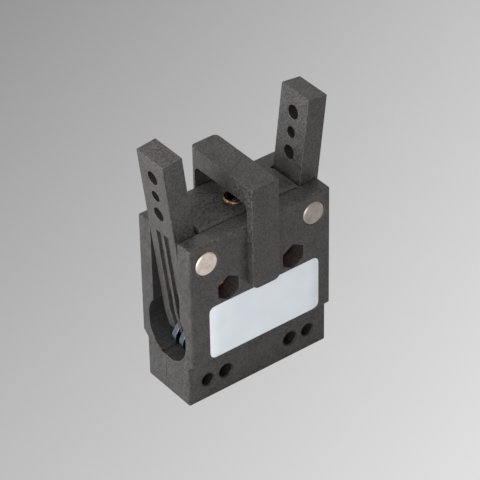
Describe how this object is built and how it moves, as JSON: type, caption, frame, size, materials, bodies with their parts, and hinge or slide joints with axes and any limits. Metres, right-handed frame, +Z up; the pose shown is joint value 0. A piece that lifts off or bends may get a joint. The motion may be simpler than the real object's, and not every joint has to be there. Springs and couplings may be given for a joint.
{
  "type": "pneumatic gripper",
  "caption": "Single-acting pneumatic gripper: two angular jaws pivot in a split moulded body, closed by a piston with cam plates and opened by a spring.",
  "frame": {"origin": "centre of the bottom face of the base, on the cylinder's axis", "axes": "+X across the jaws towards the right jaw, -Y out of the labelled front face, +Z up along the cylinder towards the jaw tips"},
  "size_m": [0.0458, 0.0232, 0.0675],
  "materials": {
    "black_nylon": "glass-filled nylon, fine moulded grain",
    "jaw_nylon": "glass-filled nylon, fine moulded grain",
    "label_film": "satin white film, bare",
    "zinc_steel": "zinc plated",
    "copper_nut": "copper-coloured passivated plating",
    "anodised_aluminium": "natural anodised",
    "spring_steel": "phosphated",
    "brass_turned": "turned",
    "seal_rubber": "matt",
    "bearing_bronze": "sintered bronze",
    "ground_steel": "ground, turned end faces",
    "copper_wire": "copper-coloured coated wire",
    "machined_aluminium": "machined",
    "hardened_steel": "hardened and polished"
  },
  "bodies": {
    "body": {"front_shell": "black_nylon", "rear_shell": "black_nylon", "core_block": "black_nylon", "yoke": "black_nylon", "label": "label_film", "clamp_screws": "zinc_steel", "clamp_nuts": "copper_nut", "cylinder_liner": "anodised_aluminium", "retaining_ring": "spring_steel", "end_cap": "brass_turned", "end_cap_seal": "seal_rubber", "rod_gland": "bearing_bronze", "rod_bush": "bearing_bronze", "left_pivot_pin": "ground_steel", "right_pivot_pin": "ground_steel", "return_spring": "copper_wire"},
    "drive": {"piston": "anodised_aluminium", "piston_seal": "seal_rubber", "piston_nut": "zinc_steel", "piston_rod": "ground_steel", "cam_hub": "machined_aluminium", "hub_pins": "ground_steel", "left_cam_plates": "hardened_steel", "right_cam_plates": "hardened_steel", "spring_seat": "bearing_bronze"},
    "left_jaw": {"left_jaw": "jaw_nylon", "left_cam_pin": "ground_steel"},
    "right_jaw": {"right_jaw": "jaw_nylon", "right_cam_pin": "ground_steel"}
  },
  "joints": [
    {"name": "piston_slide", "type": "slide", "parent": "body", "child": "drive", "axis": [0, 0, 1], "range_m": [0, 0.0045], "stiffness_N_per_m": 2600, "springref_m": -0.0045, "deforming": ["return_spring"]},
    {"name": "left_jaw_hinge", "type": "hinge", "parent": "body", "child": "left_jaw", "pos_m": [-0.01525, 0, 0.0401], "axis": [0, 1, 0], "range_deg": [0, 8.5]},
    {"name": "right_jaw_hinge", "type": "hinge", "parent": "body", "child": "right_jaw", "pos_m": [0.01525, 0, 0.0401], "axis": [0, 1, 0], "range_deg": [-8.5, 0]}
  ],
  "couplings": [
    {"joint": "left_jaw_hinge", "follows": "piston_slide", "rad_per_m": 32.967},
    {"joint": "right_jaw_hinge", "follows": "piston_slide", "rad_per_m": -32.967}
  ]
}
